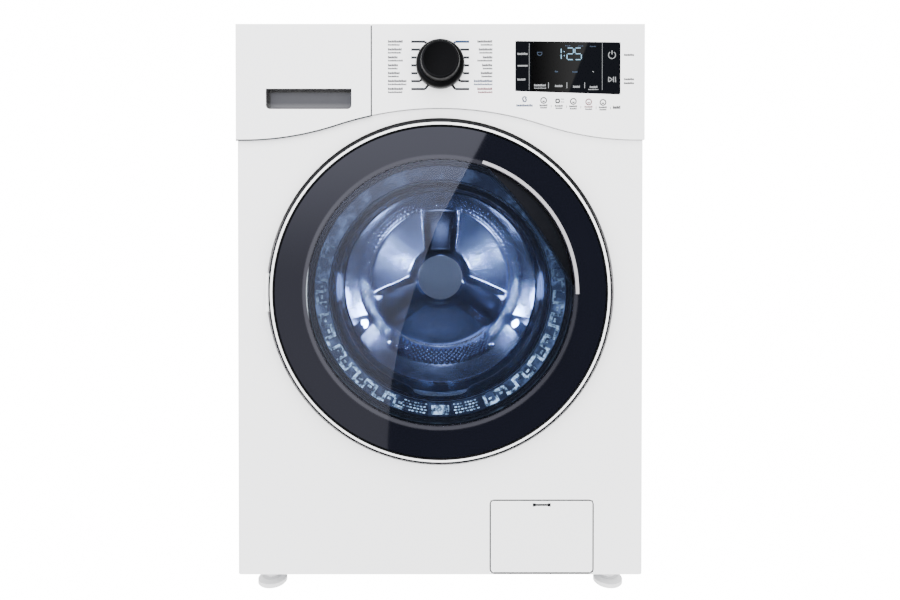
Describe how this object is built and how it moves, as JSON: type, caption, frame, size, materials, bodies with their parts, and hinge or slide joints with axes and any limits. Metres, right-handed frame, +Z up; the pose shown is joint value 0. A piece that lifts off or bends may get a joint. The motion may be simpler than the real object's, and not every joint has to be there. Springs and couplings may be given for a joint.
{
  "type": "front load washing machine",
  "caption": "Free-standing front-loading washing machine with hinged round glass door, belt-driven drum, sprung tub, detergent drawer, programme knob and drain filter flap.",
  "frame": {"origin": "on the floor, under the middle of the machine's bounding box", "axes": "+X right as seen from the front, +Y to the back, +Z up"},
  "size_m": [0.6, 0.6, 0.85],
  "materials": {
    "body_white": "satin",
    "console_white": "satin",
    "knob_black": "gloss",
    "display_black": "gloss",
    "dark_glass": "gloss",
    "clear_glass": "gloss",
    "door_ring_chrome": "polished",
    "dark_plastic": "satin",
    "gasket_grey": "matt",
    "drum_steel": "brushed",
    "shaft_steel": "machined",
    "cast_aluminium": "cast",
    "tub_plastic": "matt",
    "weight_iron": "rough",
    "motor_black": "satin",
    "zinc_steel": "satin",
    "drawer_grey": "satin",
    "board_green": "satin",
    "hose_grey": "matt",
    "belt_black": "matt",
    "pump_plastic": "satin",
    "foot_rubber": "matt"
  },
  "bodies": {
    "cabinet": {"left_side_panel": "body_white", "right_side_panel": "body_white", "front_panel": "body_white", "top_plate": "console_white", "rear_panel": "zinc_steel", "rear_cover": "zinc_steel", "rear_screws": "shaft_steel", "cord_gland": "dark_plastic", "base_pan": "zinc_steel", "console_panel": "console_white", "display_window": "display_black", "control_board": "board_green", "drawer_housing": "drawer_grey", "inlet_valve": "pump_plastic", "inlet_hose": "hose_grey", "door_hinge_bracket": "cast_aluminium", "door_lock": "dark_plastic", "door_gasket": "gasket_grey", "spring_brackets": "zinc_steel", "suspension_springs": "shaft_steel", "damper_cylinders": "dark_plastic", "pump_housing": "pump_plastic", "sump_hose": "hose_grey", "drain_hose": "hose_grey"},
    "foot_front_left": {"front_left_foot": "foot_rubber"},
    "foot_front_right": {"front_right_foot": "foot_rubber"},
    "foot_rear_left": {"rear_left_foot": "foot_rubber"},
    "foot_rear_right": {"rear_right_foot": "foot_rubber"},
    "knob": {"program_knob": "knob_black"},
    "drawer": {"drawer_front": "console_white", "drawer_tray": "drawer_grey"},
    "door": {"door_cover_glass": "dark_glass", "door_ring": "door_ring_chrome", "door_front_frame": "dark_plastic", "door_grip_cup": "dark_plastic", "door_rear_frame": "dark_plastic", "door_glass_bowl": "clear_glass", "door_handle_strip": "door_ring_chrome", "door_hinge_leaf": "cast_aluminium"},
    "latch": {"latch_hook": "shaft_steel"},
    "tub": {"tub_front": "tub_plastic", "tub_rear": "tub_plastic", "front_counterweight": "weight_iron", "top_counterweight": "weight_iron", "drum_bearings": "shaft_steel", "tub_heater": "shaft_steel", "damper_rods": "shaft_steel", "motor_housing": "motor_black", "drive_belt": "belt_black", "gasket_clamp": "shaft_steel"},
    "drum": {"drum_shell": "drum_steel", "drum_back": "drum_steel", "drum_lifters": "drum_steel", "drum_spider": "cast_aluminium", "drum_shaft": "shaft_steel", "drum_pulley": "cast_aluminium"},
    "motor": {"motor_rotor": "shaft_steel"},
    "impeller": {"pump_impeller": "pump_plastic"},
    "filter": {"filter_cap": "pump_plastic"},
    "flap": {"filter_flap": "console_white"}
  },
  "joints": [
    {"name": "foot_front_left_turn", "type": "hinge", "parent": "cabinet", "child": "foot_front_left", "pos_m": [-0.262, -0.214, 0.02], "axis": [0, 0, 1], "continuous": true},
    {"name": "foot_front_right_turn", "type": "hinge", "parent": "cabinet", "child": "foot_front_right", "pos_m": [0.262, -0.214, 0.02], "axis": [0, 0, 1], "continuous": true},
    {"name": "foot_rear_left_turn", "type": "hinge", "parent": "cabinet", "child": "foot_rear_left", "pos_m": [-0.262, 0.236, 0.02], "axis": [0, 0, 1], "continuous": true},
    {"name": "foot_rear_right_turn", "type": "hinge", "parent": "cabinet", "child": "foot_rear_right", "pos_m": [0.262, 0.236, 0.02], "axis": [0, 0, 1], "continuous": true},
    {"name": "knob_turn", "type": "hinge", "parent": "cabinet", "child": "knob", "pos_m": [0, -0.268, 0.7894], "axis": [0, -1, 0], "continuous": true},
    {"name": "drawer_slide", "type": "slide", "parent": "cabinet", "child": "drawer", "axis": [0, -1, 0], "range_m": [0, 0.2]},
    {"name": "door_swing", "type": "hinge", "parent": "cabinet", "child": "door", "pos_m": [-0.252, -0.27, 0.457], "axis": [0, 0, -1], "range_deg": [0, 130]},
    {"name": "latch_spring", "type": "hinge", "parent": "door", "child": "latch", "pos_m": [0.217, -0.254, 0.457], "axis": [0, 0, 1], "range_deg": [0, 6], "stiffness_Nm_per_rad": 0.3, "springref_deg": -5.73},
    {"name": "tub_bounce", "type": "slide", "parent": "cabinet", "child": "tub", "axis": [0, 0, 1], "range_m": [-0.006, 0.006], "stiffness_N_per_m": 30000, "deforming": ["suspension_springs", "door_gasket"]},
    {"name": "drum_spin", "type": "hinge", "parent": "tub", "child": "drum", "pos_m": [0, 0, 0.457], "axis": [0, 1, 0], "continuous": true},
    {"name": "motor_spin", "type": "hinge", "parent": "tub", "child": "motor", "pos_m": [0, 0.15, 0.123], "axis": [0, 1, 0], "continuous": true},
    {"name": "impeller_spin", "type": "hinge", "parent": "cabinet", "child": "impeller", "pos_m": [0.15, -0.1, 0.096], "axis": [0, 1, 0], "continuous": true},
    {"name": "filter_turn", "type": "hinge", "parent": "cabinet", "child": "filter", "pos_m": [0.15, -0.24, 0.096], "axis": [0, -1, 0], "range_deg": [0, 90]},
    {"name": "flap_open", "type": "hinge", "parent": "cabinet", "child": "flap", "pos_m": [0.1503, -0.2631, 0.0419], "axis": [1, 0, 0], "range_deg": [0, 90]}
  ],
  "couplings": [
    {"joint": "motor_spin", "follows": "drum_spin", "ratio": 10.014}
  ]
}
